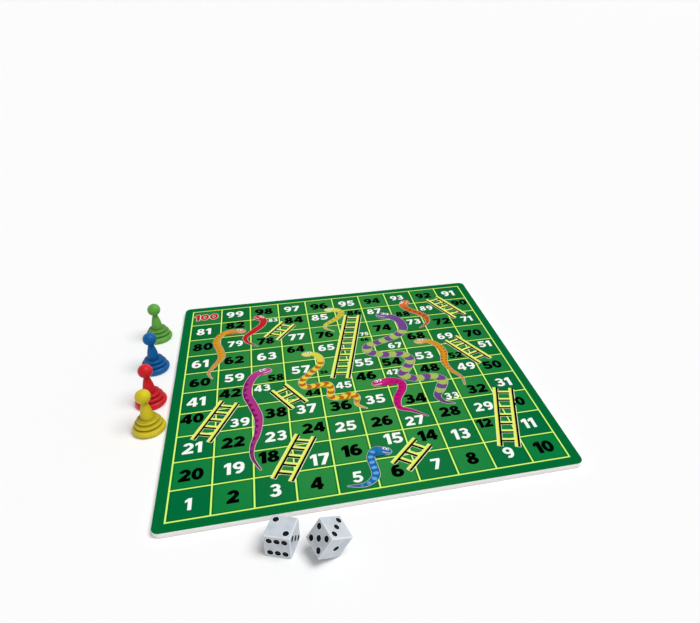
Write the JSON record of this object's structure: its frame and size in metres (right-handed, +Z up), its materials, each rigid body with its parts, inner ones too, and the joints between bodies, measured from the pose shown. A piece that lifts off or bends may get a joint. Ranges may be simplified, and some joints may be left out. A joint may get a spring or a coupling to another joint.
{
  "type": "snakes and ladders board game",
  "caption": "Flat square game board printed with numbered green squares, winding snakes and leaning ladders, with pawns and spotted dice standing beside it.",
  "frame": {"origin": "middle of the board's underside, on the table", "axes": "+X along the first row of squares, +Y from the first row to the last, +Z up"},
  "size_m": [0.3064, 0.3168, 0.0344],
  "materials": {
    "grey_board": "matt pressed board",
    "white_paper": "uncoated liner",
    "green_paper": "coated, semi-gloss",
    "dark_green_ink": "printed ink under a semi-gloss coat",
    "light_green_ink": "printed ink under a semi-gloss coat",
    "yellow_green_ink": "printed ink under a semi-gloss coat",
    "white_ink": "printed ink under a semi-gloss coat",
    "black_ink": "printed ink under a semi-gloss coat",
    "red_ink": "printed ink under a semi-gloss coat",
    "ladder_yellow_ink": "printed ink under a semi-gloss coat",
    "crimson_ink": "printed ink under a semi-gloss coat",
    "orange_ink": "printed ink under a semi-gloss coat",
    "yellow_ink": "printed ink under a semi-gloss coat",
    "vermilion_ink": "printed ink under a semi-gloss coat",
    "purple_ink": "printed ink under a semi-gloss coat",
    "amber_ink": "printed ink under a semi-gloss coat",
    "magenta_ink": "printed ink under a semi-gloss coat",
    "pink_ink": "printed ink under a semi-gloss coat",
    "blue_ink": "printed ink under a semi-gloss coat",
    "green_plastic": "moulded, glossy",
    "blue_plastic": "moulded, glossy",
    "red_plastic": "moulded, glossy",
    "yellow_plastic": "moulded, glossy",
    "die_plastic": "moulded, polished",
    "spot_paint": "paint in the dimples"
  },
  "bodies": {
    "board": {"core_board": "grey_board", "back_sheet": "white_paper", "face_sheet": "green_paper", "dark_squares": "dark_green_ink", "light_squares": "light_green_ink", "grid_lines": "yellow_green_ink", "white_numbers": "white_ink", "black_numbers": "black_ink", "red_number": "red_ink", "ladder_3_24": "ladder_yellow_ink", "ladder_6_14": "ladder_yellow_ink", "ladder_9_31": "ladder_yellow_ink", "ladder_21_42": "ladder_yellow_ink", "ladder_37_43": "ladder_yellow_ink", "ladder_45_86": "ladder_yellow_ink", "ladder_50_69": "ladder_yellow_ink", "ladder_71_92": "ladder_yellow_ink", "ladder_78_84": "ladder_yellow_ink", "snake_98_78": "crimson_ink", "snake_82_60": "orange_ink", "snake_96_76": "yellow_ink", "snake_93_73": "vermilion_ink", "snake_87_28": "purple_ink", "snake_64_35": "amber_ink", "snake_58_18": "magenta_ink", "snake_68_32": "orange_ink", "snake_46_27": "pink_ink", "snake_15_5": "blue_ink"},
    "green_pawn": {"green_pawn": "green_plastic"},
    "blue_pawn": {"blue_pawn": "blue_plastic"},
    "red_pawn": {"red_pawn": "red_plastic"},
    "yellow_pawn": {"yellow_pawn": "yellow_plastic"},
    "flat_die": {"flat_die": "die_plastic", "flat_die_spots": "spot_paint"},
    "rolling_die": {"rolling_die": "die_plastic", "rolling_die_spots": "spot_paint"}
  },
  "joints": [
    {"name": "green_pawn_lift", "type": "slide", "parent": "board", "child": "green_pawn", "axis": [0, 0, 1], "range_m": [0, 0.06]},
    {"name": "blue_pawn_lift", "type": "slide", "parent": "board", "child": "blue_pawn", "axis": [0, 0, 1], "range_m": [0, 0.06]},
    {"name": "red_pawn_lift", "type": "slide", "parent": "board", "child": "red_pawn", "axis": [0, 0, 1], "range_m": [0, 0.06]},
    {"name": "yellow_pawn_lift", "type": "slide", "parent": "board", "child": "yellow_pawn", "axis": [0, 0, 1], "range_m": [0, 0.06]},
    {"name": "flat_die_roll", "type": "hinge", "parent": "board", "child": "flat_die", "pos_m": [-0.06961, -0.1561, 0.0008], "axis": [-0.3746, -0.9272, 0], "range_deg": [0, 90]},
    {"name": "rolling_die_fall", "type": "hinge", "parent": "board", "child": "rolling_die", "pos_m": [-0.03278, -0.17285, 0.0008], "axis": [0.061, -0.9981, 0], "range_deg": [0, 33.5]}
  ]
}
